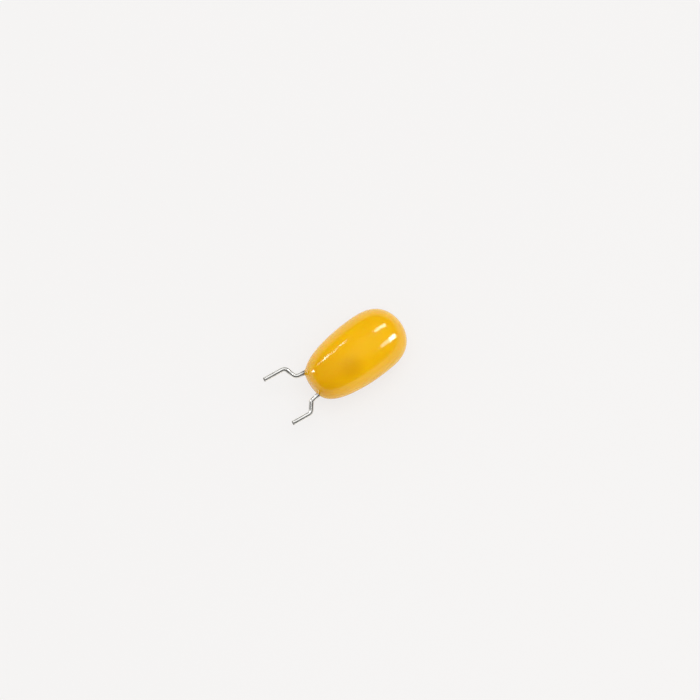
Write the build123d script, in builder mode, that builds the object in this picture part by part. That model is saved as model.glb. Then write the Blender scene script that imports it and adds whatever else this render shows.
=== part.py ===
from build123d import *
import math
import os

os.makedirs("parts", exist_ok=True)

# Everything is in millimetres. The floor is z = 0 and +Z is up. X runs along the straight ends of the leads,
# with the cut tips towards -X and the resin bead towards +X. Y runs across the leads.

# Resin bead: a dipped drop with oval sections square to its long axis. Stations are measured along that axis
# from the lead end. From the belly to each end the half width falls as (1 - u**fall) ** (1 / bluntness), with u
# going from 0 at the belly to 1 at the end.
bead_length = 10.5
belly_station = 5.8
belly_radius = 3.07
lead_end_fall = 1.8
lead_end_bluntness = 3.4
dome_fall = 3.5
dome_bluntness = 2.0
# How the lofted ovals are spread from each end to the belly.
lead_end_spreads = [0.1, 0.2, 0.32, 0.46, 0.64, 0.82, 1.0]
dome_spreads = [0.84, 0.68, 0.52, 0.38, 0.24, 0.12]
# The wet resin sagged a little, so the bead is less thick than it is wide.
bead_thickness_ratio = 0.93
# The bead set slightly turned and to one side of the lead plane's middle line.
bead_yaw = 7.8
bead_start_x = -3.41
bead_start_y = -0.82

# Capacitor element: a round sintered pellet on the bead's axis, with its thin coats.
slug_start_station = 3.3
slug_length = 5.6
slug_radius = 1.9
slug_edge_bevel = 0.25
slug_side_offset = -0.1
manganese_thickness = 0.08
graphite_thickness = 0.04
silver_thickness = 0.05
# The carbon and the silver stop short of the pellet's wire face, so that they can't touch the anode.
graphite_setback = 0.3
silver_setback = 0.5

# Anode wire and its washer.
anode_wire_radius = 0.2
anode_wire_start_station = 1.55
anode_wire_embedding = 1.8
washer_radius = 0.75
washer_thickness = 0.2

# Leads: round wire.
lead_radius = 0.225
lead_spacing = 5.08
lead_line_y = -0.40
negative_bend_radius = 0.5
positive_bend_radius = 0.4
negative_tip_x = -7.01
positive_tip_x = -6.82
# Corner points of the forming bends, before they are rounded.
negative_outer_bend_x = -4.73
negative_inner_bend_x = -4.29
negative_inner_bend_y = 0.87
positive_outer_bend_x = -4.83
positive_inner_bend_x = -4.19
positive_inner_bend_y = -1.93
# Where each lead's own axis goes into the resin, along and across the bead.
negative_entry_station = 0.7
negative_entry_side = 1.53
positive_entry_station = 0.65
positive_entry_side = -0.86
# Inside the resin the negative lead lies along the pellet's side, and the positive lead beside the anode wire.
negative_seat_depth = 0.03
negative_seat_lead_in = 0.35
negative_lead_end_station = 7.3
weld_flat_depth = 0.05
weld_start_station = 1.75
positive_lead_end_station = 2.85

# Solder along the negative lead.
solder_start_station = 4.0
solder_end_station = 7.55
solder_foot_half_width = 0.6
solder_crest_half_width = 0.3
solder_cover = 0.07
solder_edge_radius = 0.12

# Resin creeps a little way up each lead as it sets.
negative_exit_depth = 0.35
positive_exit_depth = 0.57
meniscus_height = 0.25
meniscus_root_depth = 0.9
meniscus_root_radius = 0.55
meniscus_lip_radius = 0.25

# Derived positions.
bead_axis_z = belly_radius * bead_thickness_ratio
yaw = math.radians(bead_yaw)
bead_direction = Vector(math.cos(yaw), math.sin(yaw), 0)
side_direction = Vector(-math.sin(yaw), math.cos(yaw), 0)
bead_start = Vector(bead_start_x, bead_start_y, bead_axis_z)
manganese_radius = slug_radius + manganese_thickness
graphite_radius = manganese_radius + graphite_thickness
silver_radius = graphite_radius + silver_thickness
slug_end_station = slug_start_station + slug_length


def bead_point(station, side):
    """A point in the lead plane, given along and across the bead."""
    return bead_start + bead_direction * station + side_direction * side


def round_plane(station, side):
    """A plane square to the bead's axis, for round sections."""
    return Plane(origin=bead_point(station, side), x_dir=side_direction, z_dir=bead_direction)


# Bead shape before the inside is taken out of it, lofted through ovals that crowd towards both ends.
with BuildPart() as bead_blank:
    for spread in lead_end_spreads:
        u = 1 - spread**2
        half_width = belly_radius * (1 - u**lead_end_fall) ** (1 / lead_end_bluntness)
        with BuildSketch(round_plane(belly_station * (1 - u), 0)):
            Ellipse(half_width, half_width * bead_thickness_ratio)
    for spread in dome_spreads:
        u = 1 - spread**2
        half_width = belly_radius * (1 - u**dome_fall) ** (1 / dome_bluntness)
        with BuildSketch(round_plane(belly_station + (bead_length - belly_station) * u, 0)):
            Ellipse(half_width, half_width * bead_thickness_ratio)
    lead_pole = Vertex(*bead_point(0, 0))
    dome_pole = Vertex(*bead_point(bead_length, 0))
    loft(sections=[lead_pole, *bead_blank.pending_faces, dome_pole])

# Pellet with the anode wire's hole in it.
slug_plane = round_plane(slug_start_station, slug_side_offset)
wire_plane = round_plane(anode_wire_start_station, slug_side_offset)
wire_length = slug_start_station + anode_wire_embedding - anode_wire_start_station
with BuildPart() as wire_blank:
    with BuildSketch(wire_plane):
        Circle(anode_wire_radius)
    extrude(amount=wire_length)

with BuildPart() as slug_blank:
    with BuildSketch(slug_plane):
        Circle(slug_radius)
    extrude(amount=slug_length)
    chamfer(slug_blank.edges().filter_by(GeomType.CIRCLE), slug_edge_bevel)

with BuildPart() as anode_slug:
    add(slug_blank.part)
    add(wire_blank.part, mode=Mode.SUBTRACT)

# Washer on the wire, tight against the pellet's face.
with BuildPart() as insulating_washer:
    with BuildSketch(round_plane(slug_start_station - washer_thickness, slug_side_offset)):
        Circle(washer_radius)
        Circle(anode_wire_radius, mode=Mode.SUBTRACT)
    extrude(amount=washer_thickness)

# Electrolyte all round the pellet, up to the washer.
with BuildPart() as manganese_blank:
    with BuildSketch(round_plane(slug_start_station - manganese_thickness, slug_side_offset)):
        Circle(manganese_radius)
    extrude(amount=slug_length + 2 * manganese_thickness)
    chamfer(manganese_blank.edges().filter_by(GeomType.CIRCLE), slug_edge_bevel)

with BuildPart() as manganese_dioxide_layer:
    add(manganese_blank.part)
    add(slug_blank.part, mode=Mode.SUBTRACT)
    with BuildSketch(round_plane(slug_start_station - washer_thickness, slug_side_offset)):
        Circle(washer_radius)
    extrude(amount=washer_thickness, mode=Mode.SUBTRACT)

# Carbon, open at the wire end.
graphite_start = slug_start_station + graphite_setback
graphite_end = slug_end_station + manganese_thickness + graphite_thickness
with BuildPart() as graphite_blank:
    with BuildSketch(round_plane(graphite_start, slug_side_offset)):
        Circle(graphite_radius)
    extrude(amount=graphite_end - graphite_start)
    graphite_rims = graphite_blank.edges().filter_by(GeomType.CIRCLE).sort_by(Axis(bead_start, bead_direction))
    chamfer(graphite_rims[-1], slug_edge_bevel)

with BuildPart() as graphite_layer:
    add(graphite_blank.part)
    add(manganese_blank.part, mode=Mode.SUBTRACT)

# Silver over the carbon, set back a little further.
silver_start = slug_start_station + silver_setback
silver_end = graphite_end + silver_thickness
with BuildPart() as silver_blank:
    with BuildSketch(round_plane(silver_start, slug_side_offset)):
        Circle(silver_radius)
    extrude(amount=silver_end - silver_start)
    silver_rims = silver_blank.edges().filter_by(GeomType.CIRCLE).sort_by(Axis(bead_start, bead_direction))
    chamfer(silver_rims[-1], slug_edge_bevel)

with BuildPart() as silver_layer:
    add(silver_blank.part)
    add(graphite_blank.part, mode=Mode.SUBTRACT)
    add(manganese_blank.part, mode=Mode.SUBTRACT)

# Negative lead: straight tip, two forming bends, then along the side of the pellet.
negative_tip = Vector(negative_tip_x, lead_line_y + lead_spacing / 2, bead_axis_z)
negative_seat_side = slug_side_offset + silver_radius + lead_radius - negative_seat_depth
negative_path_points = [
    negative_tip,
    Vector(negative_outer_bend_x, lead_line_y + lead_spacing / 2, bead_axis_z),
    Vector(negative_inner_bend_x, negative_inner_bend_y, bead_axis_z),
    bead_point(negative_entry_station, negative_entry_side),
    bead_point(slug_start_station - negative_seat_lead_in, negative_seat_side),
    bead_point(negative_lead_end_station, negative_seat_side),
]
with BuildPart() as negative_lead:
    with BuildLine() as negative_path:
        FilletPolyline(*negative_path_points, radius=negative_bend_radius)
    with BuildSketch(Plane(origin=negative_tip, z_dir=(1, 0, 0))):
        Circle(lead_radius)
    sweep(path=negative_path.wire())
    add(silver_blank.part, mode=Mode.SUBTRACT)

# Positive lead: the same forming bends mirrored, then beside the anode wire, where both are flattened and welded.
positive_tip = Vector(positive_tip_x, lead_line_y - lead_spacing / 2, bead_axis_z)
weld_side = slug_side_offset - anode_wire_radius + weld_flat_depth
positive_seat_side = weld_side - lead_radius + weld_flat_depth
positive_path_points = [
    positive_tip,
    Vector(positive_outer_bend_x, lead_line_y - lead_spacing / 2, bead_axis_z),
    Vector(positive_inner_bend_x, positive_inner_bend_y, bead_axis_z),
    bead_point(positive_entry_station, positive_entry_side),
    bead_point(weld_start_station, positive_seat_side),
    bead_point(positive_lead_end_station, positive_seat_side),
]
weld_length = positive_lead_end_station - anode_wire_start_station
with BuildPart() as positive_lead:
    with BuildLine() as positive_path:
        FilletPolyline(*positive_path_points, radius=positive_bend_radius)
    with BuildSketch(Plane(origin=positive_tip, z_dir=(1, 0, 0))):
        Circle(lead_radius)
    sweep(path=positive_path.wire())
    with BuildSketch(round_plane(anode_wire_start_station, weld_side)):
        Rectangle(lead_radius, 2 * lead_radius, align=(Align.MIN, Align.CENTER))
    extrude(amount=weld_length, mode=Mode.SUBTRACT)

with BuildPart() as anode_wire:
    add(wire_blank.part)
    add(positive_lead.part, mode=Mode.SUBTRACT)

# Solder round the negative lead, where it lies along the silver.
solder_foot_side = slug_side_offset + math.sqrt(silver_radius**2 - solder_foot_half_width**2)
solder_crest_side = negative_seat_side + lead_radius + solder_cover
with BuildPart() as solder_joint:
    with BuildSketch(round_plane(solder_start_station, 0)):
        Polygon(
            (solder_foot_side, -solder_foot_half_width),
            (solder_crest_side, -solder_crest_half_width),
            (solder_crest_side, solder_crest_half_width),
            (solder_foot_side, solder_foot_half_width),
            align=None,
        )
    extrude(amount=solder_end_station - solder_start_station)
    crest_face = solder_joint.faces().sort_by(Axis(bead_start, side_direction))[-1]
    fillet(crest_face.edges(), solder_edge_radius)
    add(silver_blank.part, mode=Mode.SUBTRACT)
    add(negative_lead.part, mode=Mode.SUBTRACT)

# Resin bead: the squashed drop with its two menisci, formed tight round everything inside it.
negative_exit_direction = (negative_path_points[2] - negative_path_points[3]).normalized()
negative_root = negative_path_points[3] - negative_exit_direction * (meniscus_root_depth - negative_exit_depth)
positive_exit_direction = (positive_path_points[2] - positive_path_points[3]).normalized()
positive_root = positive_path_points[3] - positive_exit_direction * (meniscus_root_depth - positive_exit_depth)
inner_pieces = [
    anode_slug,
    anode_wire,
    insulating_washer,
    manganese_dioxide_layer,
    graphite_layer,
    silver_layer,
    solder_joint,
    positive_lead,
    negative_lead,
]
with BuildPart() as resin_coat:
    add(bead_blank.part)
    for root, direction in [
        (negative_root, negative_exit_direction),
        (positive_root, positive_exit_direction),
    ]:
        with Locations(Plane(origin=root, z_dir=direction)):
            Cone(
                bottom_radius=meniscus_root_radius,
                top_radius=meniscus_lip_radius,
                height=meniscus_root_depth + meniscus_height,
                align=(Align.CENTER, Align.CENTER, Align.MIN),
            )
    for piece in inner_pieces:
        add(piece.part, mode=Mode.SUBTRACT)

resin_coat.part.label = "resin_coat"
anode_slug.part.label = "anode_slug"
anode_wire.part.label = "anode_wire"
insulating_washer.part.label = "insulating_washer"
manganese_dioxide_layer.part.label = "manganese_dioxide_layer"
graphite_layer.part.label = "graphite_layer"
silver_layer.part.label = "silver_layer"
solder_joint.part.label = "solder_joint"
positive_lead.part.label = "positive_lead"
negative_lead.part.label = "negative_lead"

export_step(resin_coat.part, "parts/resin_coat.step")
export_step(anode_slug.part, "parts/anode_slug.step")
export_step(anode_wire.part, "parts/anode_wire.step")
export_step(insulating_washer.part, "parts/insulating_washer.step")
export_step(manganese_dioxide_layer.part, "parts/manganese_dioxide_layer.step")
export_step(graphite_layer.part, "parts/graphite_layer.step")
export_step(silver_layer.part, "parts/silver_layer.step")
export_step(solder_joint.part, "parts/solder_joint.step")
export_step(positive_lead.part, "parts/positive_lead.step")
export_step(negative_lead.part, "parts/negative_lead.step")
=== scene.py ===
import math

import bpy
import numpy as np
from mathutils import Matrix, Vector


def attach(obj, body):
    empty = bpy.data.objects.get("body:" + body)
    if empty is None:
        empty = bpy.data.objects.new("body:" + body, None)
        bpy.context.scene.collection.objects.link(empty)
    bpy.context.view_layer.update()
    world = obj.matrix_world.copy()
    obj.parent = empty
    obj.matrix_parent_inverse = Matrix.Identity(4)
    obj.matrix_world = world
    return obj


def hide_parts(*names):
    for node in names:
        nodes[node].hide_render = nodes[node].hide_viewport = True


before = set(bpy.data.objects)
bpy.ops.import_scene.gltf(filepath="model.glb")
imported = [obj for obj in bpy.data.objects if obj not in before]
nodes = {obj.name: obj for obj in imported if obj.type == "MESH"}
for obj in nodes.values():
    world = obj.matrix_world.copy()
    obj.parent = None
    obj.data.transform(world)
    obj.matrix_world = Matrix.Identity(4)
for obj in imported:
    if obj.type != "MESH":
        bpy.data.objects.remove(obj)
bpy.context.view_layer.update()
MM = 0.001

# Sizes and places in millimetres, the same as in the part's source.
# Stations run along the bead from its lead end, and sides across it towards the negative lead.
BEAD_LENGTH = 10.5
BELLY_STATION = 5.8
BELLY_RADIUS = 3.07
LEAD_END_FALL = 1.8
LEAD_END_BLUNTNESS = 3.4
DOME_FALL = 3.5
DOME_BLUNTNESS = 2.0
THICKNESS_RATIO = 0.93
YAW = math.radians(7.8)
ALONG = np.array([math.cos(YAW), math.sin(YAW), 0.0])
ACROSS = np.array([-math.sin(YAW), math.cos(YAW), 0.0])
UP = np.array([0.0, 0.0, 1.0])
AXIS_Z = BELLY_RADIUS * THICKNESS_RATIO
BEAD_START = np.array([-3.41, -0.82, AXIS_Z])

LEAD_RADIUS = 0.225
LEAD_SPACING = 5.08
LEAD_LINE_Y = -0.40
NEGATIVE_LINE_Y = LEAD_LINE_Y + LEAD_SPACING / 2
POSITIVE_LINE_Y = LEAD_LINE_Y - LEAD_SPACING / 2
NEGATIVE_BEND_RADIUS = 0.5
POSITIVE_BEND_RADIUS = 0.4

# Where the leads lie inside the resin: one against the silver, the other beside the anode wire.
SLUG_START_STATION = 3.3
SLUG_SIDE_OFFSET = -0.1
SILVER_RADIUS = 2.07
ANODE_WIRE_RADIUS = 0.2
NEGATIVE_SEAT_DEPTH = 0.03
NEGATIVE_SEAT_LEAD_IN = 0.35
WELD_FLAT_DEPTH = 0.05
NEGATIVE_SEAT_SIDE = SLUG_SIDE_OFFSET + SILVER_RADIUS + LEAD_RADIUS - NEGATIVE_SEAT_DEPTH
POSITIVE_SEAT_SIDE = SLUG_SIDE_OFFSET - ANODE_WIRE_RADIUS - LEAD_RADIUS + 2 * WELD_FLAT_DEPTH


def bead_point(station, side):
    """A point in the lead plane, given along and across the bead."""
    return BEAD_START + ALONG * station + ACROSS * side


def level_point(x, y):
    """A point in the lead plane, given in the part's own frame."""
    return np.array([x, y, AXIS_Z])


# Tip, outer bend, inner bend, entry into the resin, then the run inside it.
NEGATIVE_PATH = [
    level_point(-7.01, NEGATIVE_LINE_Y),
    level_point(-4.73, NEGATIVE_LINE_Y),
    level_point(-4.29, 0.87),
    bead_point(0.7, 1.53),
    bead_point(SLUG_START_STATION - NEGATIVE_SEAT_LEAD_IN, NEGATIVE_SEAT_SIDE),
    bead_point(7.3, NEGATIVE_SEAT_SIDE),
]
POSITIVE_PATH = [
    level_point(-6.82, POSITIVE_LINE_Y),
    level_point(-4.83, POSITIVE_LINE_Y),
    level_point(-4.19, -1.93),
    bead_point(0.65, -0.86),
    bead_point(1.75, POSITIVE_SEAT_SIDE),
    bead_point(2.85, POSITIVE_SEAT_SIDE),
]
INNER_BEND = 2
RESIN_ENTRY = 3


# Mesh helpers.
def new_object(name, data):
    made = bpy.data.objects.new(name, data)
    bpy.context.scene.collection.objects.link(made)
    return made


def smooth_mesh(name, rows, reverse=False):
    """A smooth-shaded mesh over rows of closed rings, from millimetre points."""
    count, columns = rows.shape[:2]
    faces = grid_faces(count, columns)
    if reverse:
        faces = [face[::-1] for face in faces]
    mesh = bpy.data.meshes.new(name)
    mesh.from_pydata([tuple(p) for p in rows.reshape(-1, 3) * MM], [], faces)
    mesh.update()
    mesh.polygons.foreach_set("use_smooth", [True] * len(mesh.polygons))
    return new_object(name, mesh)


def grid_faces(rows, columns):
    """Quads over rows of closed rings."""
    quads = []
    for i in range(rows - 1):
        here = i * columns
        there = here + columns
        for j in range(columns):
            k = (j + 1) % columns
            quads.append((here + j, there + j, there + k, here + k))
    return quads


def round_angles(columns):
    return np.linspace(0, 2 * math.pi, columns, endpoint=False)


def ring(centre, radius, side, up, angles):
    return centre + radius * (np.cos(angles)[:, None] * side + np.sin(angles)[:, None] * up)


# Resin bead: the same oval sections, finer, with faint lumps and the resin drawn up round each lead.
BEAD_COLUMNS = 320
LEAD_END_ROWS = 110
DOME_ROWS = 90
# How strongly the rows crowd towards each end.
LEAD_END_CROWDING = 3.2
DOME_CROWDING = 2.0
# Each wave of lumps: share, rate and phase along the bead, number and phase round it.
LUMPS = [
    (1.0, 0.9, 1.3, 2, 0.4),
    (0.7, 1.7, 0.2, 3, 2.1),
    (0.4, 2.9, 2.0, 5, 1.0),
]
LUMP_DEPTH = 0.012
LUMP_CENTRE_STATION = 5.4
MENISCUS_RADIUS = 0.55
MENISCUS_PULL = 0.08
MENISCUS_CURVE = 2.2
TINY = 1e-9


def half_width(station):
    if station <= BELLY_STATION:
        u = (BELLY_STATION - station) / BELLY_STATION
        return BELLY_RADIUS * max(0.0, 1 - u**LEAD_END_FALL) ** (1 / LEAD_END_BLUNTNESS)
    u = (station - BELLY_STATION) / (BEAD_LENGTH - BELLY_STATION)
    return BELLY_RADIUS * max(0.0, 1 - u**DOME_FALL) ** (1 / DOME_BLUNTNESS)


def bead_stations():
    """Where the rows of the skin lie, from the lead end to the dome's pole."""
    stations = []
    for k in range(LEAD_END_ROWS + 1):
        stations.append(BELLY_STATION * (k / LEAD_END_ROWS) ** LEAD_END_CROWDING)
    for k in range(DOME_ROWS - 1, -1, -1):
        stations.append(BEAD_LENGTH - (BEAD_LENGTH - BELLY_STATION) * (k / DOME_ROWS) ** DOME_CROWDING)
    return np.array(stations)


def with_lumps(points, stations, radii, angles):
    """Faint lumps, always inwards, so that the bead stays inside its own shape."""
    s = stations[:, None]
    lump = sum(
        share * np.sin(rate * s + phase) * np.cos(count * angles + round_phase)
        for share, rate, phase, count, round_phase in LUMPS
    )
    depth = LUMP_DEPTH * (lump - lump.max()) / 2
    fade = np.clip(radii / BELLY_RADIUS, 0, 1)[:, None]
    inward = points - bead_point(LUMP_CENTRE_STATION, 0)
    inward /= np.maximum(np.linalg.norm(inward, axis=2, keepdims=True), TINY)
    return points + inward * (depth * fade)[:, :, None]


def with_meniscus(points, path):
    """The skin drawn a little way up one lead."""
    out = path[INNER_BEND] - path[RESIN_ENTRY]
    out = out / np.linalg.norm(out)
    from_entry = points - path[RESIN_ENTRY]
    reach = from_entry @ out
    off = np.linalg.norm(from_entry - reach[:, :, None] * out, axis=2)
    pull = np.clip((MENISCUS_RADIUS - off) / (MENISCUS_RADIUS - LEAD_RADIUS), 0, 1) ** MENISCUS_CURVE
    pull = np.where(reach > 0, pull, 0)
    return points + (MENISCUS_PULL * pull)[:, :, None] * out


def bead_mesh():
    stations = bead_stations()
    radii = np.array([half_width(station) for station in stations])
    angles = round_angles(BEAD_COLUMNS)
    rise = UP * THICKNESS_RATIO
    rows = [ring(bead_point(s, 0), radius, ACROSS, rise, angles) for s, radius in zip(stations, radii)]
    points = with_lumps(np.array(rows), stations, radii, angles)
    for path in (NEGATIVE_PATH, POSITIVE_PATH):
        points = with_meniscus(points, path)
    return smooth_mesh("bead_skin", points)


# Leads: the same wire, rounder and a little uneven, with the sheared cut of its tip.
# The flat at the weld, which the resin hides, is left out.
WIRE_COLUMNS = 40
PATH_STEP = 0.05
FEWEST_ARC_POINTS = 4
SWELL_DEPTH = 0.012
SWELL_RATE = 7
SWELL_PHASES = 6.28
NEGATIVE_SEED = 3
POSITIVE_SEED = 8
# The cut face: rings from its centre outwards, how far it leans, and how far it lies back from the tip.
CUT_RINGS = (0.001, 0.45, 0.8, 0.94)
CUT_LEAN = 0.035
CUT_SETBACK = 0.03
RIM_SETBACK = 0.045
BURR_LENGTH = 0.06
BURR_DEPTH = 0.05
HIDDEN_END_RINGS = (0.8, 0.001)


def tangent_arc(before, corner, after, radius):
    """Points of the arc that rounds one corner."""
    a = (before - corner) / np.linalg.norm(before - corner)
    b = (after - corner) / np.linalg.norm(after - corner)
    half = math.acos(float(np.clip(a @ b, -1, 1))) / 2
    cut = radius / math.tan(half)
    middle = (a + b) / np.linalg.norm(a + b)
    centre = corner + middle * radius / math.sin(half)
    turn = math.pi - 2 * half
    count = max(FEWEST_ARC_POINTS, int(turn * radius / PATH_STEP) + 1)
    first = (corner + a * cut - centre) / radius
    last = (corner + b * cut - centre) / radius
    points = []
    for i in range(count + 1):
        t = i / count
        blend = math.sin((1 - t) * turn) * first + math.sin(t * turn) * last
        points.append(centre + radius * blend / math.sin(turn))
    return points


def rounded_path(corners, radius):
    """Evenly spaced points along straight runs joined by tangent arcs."""
    points = [corners[0]]
    for before, corner, after in zip(corners, corners[1:], corners[2:]):
        points.extend(tangent_arc(before, corner, after, radius))
    points.append(corners[-1])
    dense = [points[0]]
    for p, q in zip(points, points[1:]):
        count = max(1, int(round(np.linalg.norm(q - p) / PATH_STEP)))
        dense.extend(p + (q - p) * i / count for i in range(1, count + 1))
    return np.array(dense)


def wire_axes(tangent):
    side = np.cross(tangent, UP)
    side /= np.linalg.norm(side)
    return side, np.cross(side, tangent)


def cut_face_rows(tip, tangent, angles):
    rows = []
    for share in CUT_RINGS:
        back = CUT_LEAN * np.sin(angles)[:, None] * share + CUT_SETBACK
        rows.append(ring(tip, share * LEAD_RADIUS, *wire_axes(tangent), angles) + tangent * back)
    return rows


def lead_mesh(name, corners, bend_radius, seed):
    path = rounded_path(corners, bend_radius)
    tangents = np.gradient(path, axis=0)
    tangents /= np.linalg.norm(tangents, axis=1, keepdims=True)
    steps = np.linalg.norm(np.diff(path, axis=0), axis=1)
    distances = np.concatenate([[0], np.cumsum(steps)])
    angles = round_angles(WIRE_COLUMNS)
    phase = np.random.default_rng(seed).uniform(0, SWELL_PHASES)
    rows = cut_face_rows(path[0], tangents[0], angles)
    for point, tangent, distance in zip(path, tangents, distances):
        swell = 1 - SWELL_DEPTH * (1 + np.sin(SWELL_RATE * distance + phase))
        burr = 1 - BURR_DEPTH * math.exp(-distance / BURR_LENGTH)
        rows.append(ring(point, LEAD_RADIUS * swell * burr, *wire_axes(tangent), angles))
    # The wire's rim leans and lies back with the cut face.
    rows[len(CUT_RINGS)] += tangents[0] * (CUT_LEAN * np.sin(angles)[:, None] + RIM_SETBACK)
    for share in HIDDEN_END_RINGS:
        rows.append(ring(path[-1], share * LEAD_RADIUS, *wire_axes(tangents[-1]), angles))
    # Reversed, the leads' faces point inwards, as the bead's do. The materials show from both sides.
    made = smooth_mesh(name, np.array(rows), reverse=True)
    made.data.materials.append(wire)
    made.data.materials.append(cut_face)
    cut_faces = (len(CUT_RINGS) - 1) * WIRE_COLUMNS
    index = [1 if i < cut_faces else 0 for i in range(len(made.data.polygons))]
    made.data.polygons.foreach_set("material_index", index)
    return made


# Node helpers.
def new_material(name):
    material = bpy.data.materials.new(name)
    material.use_nodes = True
    tree = material.node_tree
    shader = next(n for n in tree.nodes if n.type == "BSDF_PRINCIPLED")
    return material, tree, shader


def set_values(node, values):
    for name, value in values.items():
        node.inputs[name].default_value = value


def object_coords(tree):
    return tree.nodes.new("ShaderNodeTexCoord").outputs["Object"]


def vector_node(tree, operation, source, other=None):
    node = tree.nodes.new("ShaderNodeVectorMath")
    node.operation = operation
    tree.links.new(source, node.inputs[0])
    if other is not None:
        node.inputs[1].default_value = other
    return node


def map_range(tree, source, start, end, first, last):
    node = tree.nodes.new("ShaderNodeMapRange")
    set_values(node, {"From Min": start, "From Max": end, "To Min": first, "To Max": last})
    tree.links.new(source, node.inputs["Value"])
    return node


def mix_colours(tree, factor, a, b=None):
    """A colour mix whose second colour is a fixed one, or is linked later."""
    node = tree.nodes.new("ShaderNodeMix")
    node.data_type = "RGBA"
    tree.links.new(factor, node.inputs["Factor"])
    tree.links.new(a, node.inputs["A"])
    if b is not None:
        node.inputs["B"].default_value = (*b, 1)
    return node


def colour_ramp(tree, source, stops):
    """A ramp through stops of position and colour, in rising order."""
    node = tree.nodes.new("ShaderNodeValToRGB")
    elements = node.color_ramp.elements
    for element, (position, colour) in zip(elements, stops):
        element.position = position
        element.color = (*colour, 1)
    for position, colour in stops[2:]:
        elements.new(position).color = (*colour, 1)
    tree.links.new(source, node.inputs["Fac"])
    return node


def noise(tree, coords, scale, detail):
    node = tree.nodes.new("ShaderNodeTexNoise")
    set_values(node, {"Scale": scale, "Detail": detail})
    tree.links.new(coords, node.inputs["Vector"])
    return node.outputs["Fac"]


def grain_colour(tree, source, low, high):
    """A colour between two tones, by a noise."""
    return colour_ramp(tree, source, [(GRAIN_START, low), (GRAIN_END, high)]).outputs["Color"]


def add_bump(tree, shader, source, strength):
    bump = tree.nodes.new("ShaderNodeBump")
    set_values(bump, {"Distance": BUMP_DISTANCE * MM, "Strength": strength})
    tree.links.new(source, bump.inputs["Height"])
    tree.links.new(bump.outputs["Normal"], shader.inputs["Normal"])


def soft_patches(tree, colour, coords, patches, tint):
    """Mixes a tint into a colour within soft balls: centre and size in millimetres, and depth."""
    for centre, size, depth in patches:
        gap = vector_node(tree, "DISTANCE", coords, tuple(c * MM for c in centre))
        fall = map_range(tree, gap.outputs["Value"], 0.0, size * MM, depth, 0.0)
        fall.interpolation_type = "SMOOTHERSTEP"
        colour = mix_colours(tree, fall.outputs["Result"], colour, tint).outputs["Result"]
    return colour


# Materials. Each grain is a noise's scale and detail.
GRAIN_START = 0.3
GRAIN_END = 0.7
EPOXY_GRAIN = (260, 3)
EPOXY_SKIN = (700, 2)
WIRE_GRAIN = (1500, 5)
PLAIN_DETAIL = 4
BUMP_DISTANCE = 0.02
FINE_BUMP = 0.2
WIRE_BUMP = 0.35
EPOXY_LOW = (0.79, 0.42, 0.0001)
EPOXY_HIGH = (0.85, 0.47, 0.0003)
# A deeper amber is mixed into the resin's colour in soft patches on top and towards the lead end.
EPOXY_AMBER = (0.56, 0.25, 0.0003)
AMBER_PATCHES = [
    ((0.42, -1.66, 5.26), 1.9, 0.45),
    ((-2.6, -1.2, 4.4), 4.2, 0.48),
    ((-2.75, -1.95, 3.9), 1.5, 0.35),
]
WIRE_LOW = (0.78, 0.77, 0.74)
WIRE_HIGH = (0.94, 0.93, 0.90)
# Painted shade: the wires are painted darker on their slanting runs and by the resin, standing in for their
# dark reflections of the bead and its shadow.
WIRE_PAINTED_SHADE = (0.06, 0.057, 0.055)
WIRE_PAINTED_SHADE_PATCHES = [
    ((-4.46, -2.48, 2.9), 1.0, 0.5),
    ((-4.55, 1.75, 2.9), 0.7, 0.5),
    ((-3.25, 0.81, 2.8), 0.75, 0.9),
    ((-3.10, -1.68, 2.8), 0.8, 0.95),
]
# Material name, dark and pale tone, grain's scale, metallic and roughness.
CUT_FACE_LOOK = ("wire_cut_face", (0.10, 0.09, 0.085), (0.22, 0.20, 0.19), 2500, 0.6, 0.5)
HIDDEN_LOOKS = {
    "anode_slug": ("sintered_tantalum", (0.05, 0.05, 0.055), (0.1, 0.1, 0.11), 900, 0.4, 0.8),
    "anode_wire": ("tantalum_wire", (0.25, 0.25, 0.28), (0.35, 0.35, 0.38), 700, 1.0, 0.35),
    "insulating_washer": ("white_plastic", (0.8, 0.8, 0.78), (0.9, 0.9, 0.88), 500, 0.0, 0.5),
    "manganese_dioxide_layer": (
        "manganese_dioxide", (0.01, 0.01, 0.011), (0.03, 0.03, 0.032), 1200, 0.0, 0.85
    ),
    "graphite_layer": ("graphite_coat", (0.02, 0.02, 0.022), (0.05, 0.05, 0.052), 1000, 0.0, 0.6),
    "silver_layer": ("silver_paint", (0.5, 0.5, 0.49), (0.65, 0.65, 0.63), 1300, 0.6, 0.5),
    "solder_joint": ("solder", (0.4, 0.4, 0.41), (0.6, 0.6, 0.6), 600, 1.0, 0.35),
}


def plain_material(name, low, high, scale, metallic, roughness):
    material, tree, shader = new_material(name)
    grain = noise(tree, object_coords(tree), scale, PLAIN_DETAIL)
    tree.links.new(grain_colour(tree, grain, low, high), shader.inputs["Base Color"])
    set_values(shader, {"Metallic": metallic, "Roughness": roughness})
    add_bump(tree, shader, grain, FINE_BUMP)
    return material


def epoxy_material():
    material, tree, shader = new_material("epoxy_resin")
    coords = object_coords(tree)
    colour = grain_colour(tree, noise(tree, coords, *EPOXY_GRAIN), EPOXY_LOW, EPOXY_HIGH)
    colour = soft_patches(tree, colour, coords, AMBER_PATCHES, EPOXY_AMBER)
    tree.links.new(colour, shader.inputs["Base Color"])
    values = {
        "Roughness": 0.12,
        "IOR": 1.5,
        "Subsurface Weight": 0.35,
        "Subsurface Radius": (1.0, 0.4, 0.05),
        "Subsurface Scale": 0.5 * MM,
    }
    set_values(shader, values)
    add_bump(tree, shader, noise(tree, coords, *EPOXY_SKIN), FINE_BUMP)
    return material


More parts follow.
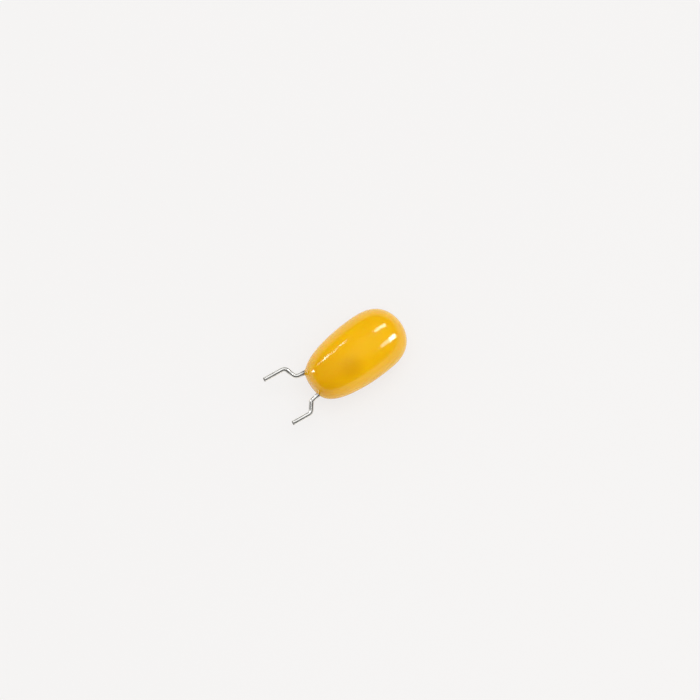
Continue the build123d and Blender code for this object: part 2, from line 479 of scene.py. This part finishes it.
def wire_material():
    material, tree, shader = new_material("tinned_wire")
    coords = object_coords(tree)
    grain = noise(tree, coords, *WIRE_GRAIN)
    colour = grain_colour(tree, grain, WIRE_LOW, WIRE_HIGH)
    # Painted shade: darker patches mixed into the wire's colour where it mirrors the bead and its shadow.
    colour = soft_patches(tree, colour, coords, WIRE_PAINTED_SHADE_PATCHES, WIRE_PAINTED_SHADE)
    tree.links.new(colour, shader.inputs["Base Color"])
    set_values(shader, {"Metallic": 0.9, "Roughness": 0.16})
    add_bump(tree, shader, grain, WIRE_BUMP)
    return material


def dress(obj, material):
    obj.data.materials.clear()
    obj.data.materials.append(material)


# Pieces.
epoxy = epoxy_material()
wire = wire_material()
cut_face = plain_material(*CUT_FACE_LOOK)

bead = bead_mesh()
dress(bead, epoxy)
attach(bead, "root")
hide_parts("resin_coat")

negative = lead_mesh("negative_wire", NEGATIVE_PATH, NEGATIVE_BEND_RADIUS, NEGATIVE_SEED)
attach(negative, "root")
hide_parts("negative_lead")

positive = lead_mesh("positive_wire", POSITIVE_PATH, POSITIVE_BEND_RADIUS, POSITIVE_SEED)
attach(positive, "root")
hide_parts("positive_lead")

dress(nodes["resin_coat"], epoxy)
dress(nodes["positive_lead"], wire)
dress(nodes["negative_lead"], wire)
for node_name, look in HIDDEN_LOOKS.items():
    dress(nodes[node_name], plain_material(*look))

# Floor. To the camera it is mostly one even tone, and far out nothing else, so it runs into the room unseen.
FLOOR_REACH = 600
FLOOR_GRAIN = (12, 2)
FLOOR_LOW = (0.80, 0.79, 0.76)
FLOOR_HIGH = (0.83, 0.82, 0.79)
FLOOR_TONE = (0.909, 0.897, 0.896)
NEAR_SHARE = 0.82
NEAR_REACH = 50
FAR_REACH = 250


def floor_material():
    material, tree, shader = new_material("floor")
    coords = object_coords(tree)
    colour = grain_colour(tree, noise(tree, coords, *FLOOR_GRAIN), FLOOR_LOW, FLOOR_HIGH)
    tree.links.new(colour, shader.inputs["Base Color"])
    set_values(shader, {"Roughness": 0.9, "Specular IOR Level": 0.1})
    glow = tree.nodes.new("ShaderNodeEmission")
    set_values(glow, {"Color": (*FLOOR_TONE, 1), "Strength": 1.0})
    span = vector_node(tree, "LENGTH", coords)
    share = map_range(tree, span.outputs["Value"], NEAR_REACH * MM, FAR_REACH * MM, NEAR_SHARE, 1.0)
    seen = tree.nodes.new("ShaderNodeMath")
    seen.operation = "MULTIPLY"
    light_path = tree.nodes.new("ShaderNodeLightPath")
    tree.links.new(light_path.outputs["Is Camera Ray"], seen.inputs[0])
    tree.links.new(share.outputs["Result"], seen.inputs[1])
    mix = tree.nodes.new("ShaderNodeMixShader")
    tree.links.new(seen.outputs[0], mix.inputs["Fac"])
    tree.links.new(shader.outputs[0], mix.inputs[1])
    tree.links.new(glow.outputs[0], mix.inputs[2])
    output = next(n for n in tree.nodes if n.type == "OUTPUT_MATERIAL")
    tree.links.new(mix.outputs[0], output.inputs["Surface"])
    return material


floor_mesh = bpy.data.meshes.new("floor")
edge = FLOOR_REACH * MM
floor_corners = [(-edge, -edge, 0), (edge, -edge, 0), (edge, edge, 0), (-edge, edge, 0)]
floor_mesh.from_pydata(floor_corners, [], [(0, 1, 2, 3)])
floor = new_object("floor", floor_mesh)
dress(floor, floor_material())

# Camera: a long lens, steeply above, with the leads towards the lower left.
IMAGE_PIXELS = 700
PIXELS_PER_MM = 10.54
ELEVATION = math.radians(72)
TURN = math.radians(30.5)
HALF_FIELD = math.radians(6.5)
SENSOR_WIDTH = 36
CLIP_NEAR = 0.01
CLIP_FAR = 10
# This point of the part, in millimetres, shows at this pixel of the photo.
ANCHOR = Vector((1.84, -0.10, AXIS_Z))
ANCHOR_PIXEL = (356.57, 354.12)
SKYWARDS = Vector((0, 0, 1))
RIGHT = Vector((math.cos(-TURN), math.sin(-TURN), 0))
AWAY = Vector((math.sin(TURN), math.cos(TURN), 0))
BACK = -AWAY * math.cos(ELEVATION) + SKYWARDS * math.sin(ELEVATION)
VIEW_UP = AWAY * math.sin(ELEVATION) + SKYWARDS * math.cos(ELEVATION)


def placed(place, x_axis, y_axis, z_axis):
    """The matrix of an object at a place in millimetres, with the given axes."""
    return Matrix.Translation(place * MM) @ Matrix((x_axis, y_axis, z_axis)).transposed().to_4x4()


def add_camera():
    pixels_right, pixels_down = (pixel - IMAGE_PIXELS / 2 for pixel in ANCHOR_PIXEL)
    target = ANCHOR - RIGHT * (pixels_right / PIXELS_PER_MM) + VIEW_UP * (pixels_down / PIXELS_PER_MM)
    distance = IMAGE_PIXELS / PIXELS_PER_MM / 2 / math.tan(HALF_FIELD)
    data = bpy.data.cameras.new("camera")
    data.sensor_width = SENSOR_WIDTH
    data.lens = SENSOR_WIDTH / 2 / math.tan(HALF_FIELD)
    data.clip_start = CLIP_NEAR
    data.clip_end = CLIP_FAR
    camera = new_object("camera", data)
    camera.matrix_world = placed(target + BACK * distance, RIGHT, VIEW_UP, BACK)
    return camera


bpy.context.scene.camera = add_camera()

# Lights. Directions are given as seen in the picture: x to the right, y away, z up.
LAMP_DISTANCE = 300
LEFT_LEAN = (0.37, 0.19, 0.31)
BACK_LEAN = (0.43, 0.30, -0.385)
RIGHT_LEAN = (0.35, 0.60, -0.59)


def picture_direction(direction):
    x, y, z = direction
    return RIGHT * x + AWAY * y + SKYWARDS * z


def area_light(name, direction, long_axis, length, width, power, distance=LAMP_DISTANCE):
    """An oblong light that faces the part. Sizes are in millimetres and power is in watts."""
    towards = picture_direction(direction).normalized()
    along = picture_direction(long_axis)
    along = (along - towards * along.dot(towards)).normalized()
    data = bpy.data.lights.new(name, "AREA")
    data.shape = "RECTANGLE"
    data.size = length * MM
    data.size_y = width * MM
    data.energy = power
    lamp = new_object(name, data)
    lamp.matrix_world = placed(towards * distance, along, towards.cross(along), towards)
    return lamp


def seen_light(*args, **kwargs):
    """A light that shows in reflections but adds no fill."""
    lamp = area_light(*args, **kwargs)
    lamp.visible_diffuse = False
    return lamp


def shown_only_in(name, lamps, objects):
    """Keeps lights to some objects."""
    receivers = bpy.data.collections.new(name)
    for obj in objects:
        receivers.objects.link(obj)
    for lamp in lamps:
        lamp.light_linking.receiver_collection = receivers


# A narrow window in panes and a low strip to the left, a skylight behind, and a bright window to the right.
seen_light("left_pane_low", (-0.785, 0.395, 0.470), LEFT_LEAN, 54, 18, 0.014)
seen_light("left_pane_middle", (-0.655, 0.470, 0.592), LEFT_LEAN, 54, 34, 0.08)
seen_light("left_pane_high", (-0.514, 0.516, 0.675), LEFT_LEAN, 12, 24, 0.009)
seen_light("skylight", (0.32, 0.54, 0.78), BACK_LEAN, 170, 45, 0.28)
right_windows = [
    seen_light("right_window", (0.80, -0.04, 0.52), RIGHT_LEAN, 250, 60, 0.36),
    seen_light("right_window_core", (0.84, 0.02, 0.50), RIGHT_LEAN, 110, 75, 0.46, distance=290),
]
seen_light("low_strip", (-0.985, 0.13, 0.109), (0, 0, 1), 110, 30, 0.2)
seen_light("left_pane_far", (-0.431, 0.611, 0.664), LEFT_LEAN, 26, 20, 0.03)
fill = area_light("fill", (0.15, 0.05, 0.98), (0, 1, 0), 260, 260, 0.43, distance=350)
fill.visible_glossy = False
# A soft ceiling light that only the wires mirror, and right-hand windows that only the bead does.
ceiling = seen_light("ceiling", (0.0, 0.31, 0.95), (1, 0, 0), 300, 300, 0.27)
shown_only_in("wires", [ceiling], [negative, positive])
shown_only_in("resin", right_windows, [bead])

# Room: even light all round, while the gloss mirrors a dim room with paler walls low down.
# The camera, looking past the floor's edge, sees the floor's own tone, so no horizon shows.
ROOM_STRENGTH = 1.2
EVEN_LIGHT = [(0.0, 0.75), (0.9, 0.74)]
MIRRORED_ROOM = [(0.08, 0.5), (0.2, 0.06), (0.5, 0.05), (0.85, 0.12)]
# The near side of the room is the darkest.
NEAR_SIDE_START = 0.35
NEAR_SIDE_END = 0.75
NEAR_SIDE_LEVEL = 0.2


def add_room():
    room = bpy.data.worlds.new("room")
    room.use_nodes = True
    tree = room.node_tree
    background = next(n for n in tree.nodes if n.type == "BACKGROUND")
    direction = tree.nodes.new("ShaderNodeTexCoord").outputs["Generated"]
    split = tree.nodes.new("ShaderNodeSeparateXYZ")
    tree.links.new(direction, split.inputs[0])
    height = split.outputs["Z"]
    even = colour_ramp(tree, height, [(z, (level,) * 3) for z, level in EVEN_LIGHT])
    mirrored = colour_ramp(tree, height, [(z, (level,) * 3) for z, level in MIRRORED_ROOM])
    nearness = vector_node(tree, "DOT_PRODUCT", direction, tuple(-AWAY))
    shade = map_range(tree, nearness.outputs["Value"], NEAR_SIDE_START, NEAR_SIDE_END, 1.0, NEAR_SIDE_LEVEL)
    darker = vector_node(tree, "SCALE", mirrored.outputs["Color"])
    tree.links.new(shade.outputs["Result"], darker.inputs["Scale"])
    path = tree.nodes.new("ShaderNodeLightPath")
    lit = mix_colours(tree, path.outputs["Is Glossy Ray"], even.outputs["Color"])
    tree.links.new(darker.outputs["Vector"], lit.inputs["B"])
    tone = tuple(level / ROOM_STRENGTH for level in FLOOR_TONE)
    seen = mix_colours(tree, path.outputs["Is Camera Ray"], lit.outputs["Result"], tone)
    tree.links.new(seen.outputs["Result"], background.inputs["Color"])
    background.inputs["Strength"].default_value = ROOM_STRENGTH
    return room


bpy.context.scene.world = add_room()
bpy.context.scene.view_settings.view_transform = "Standard"
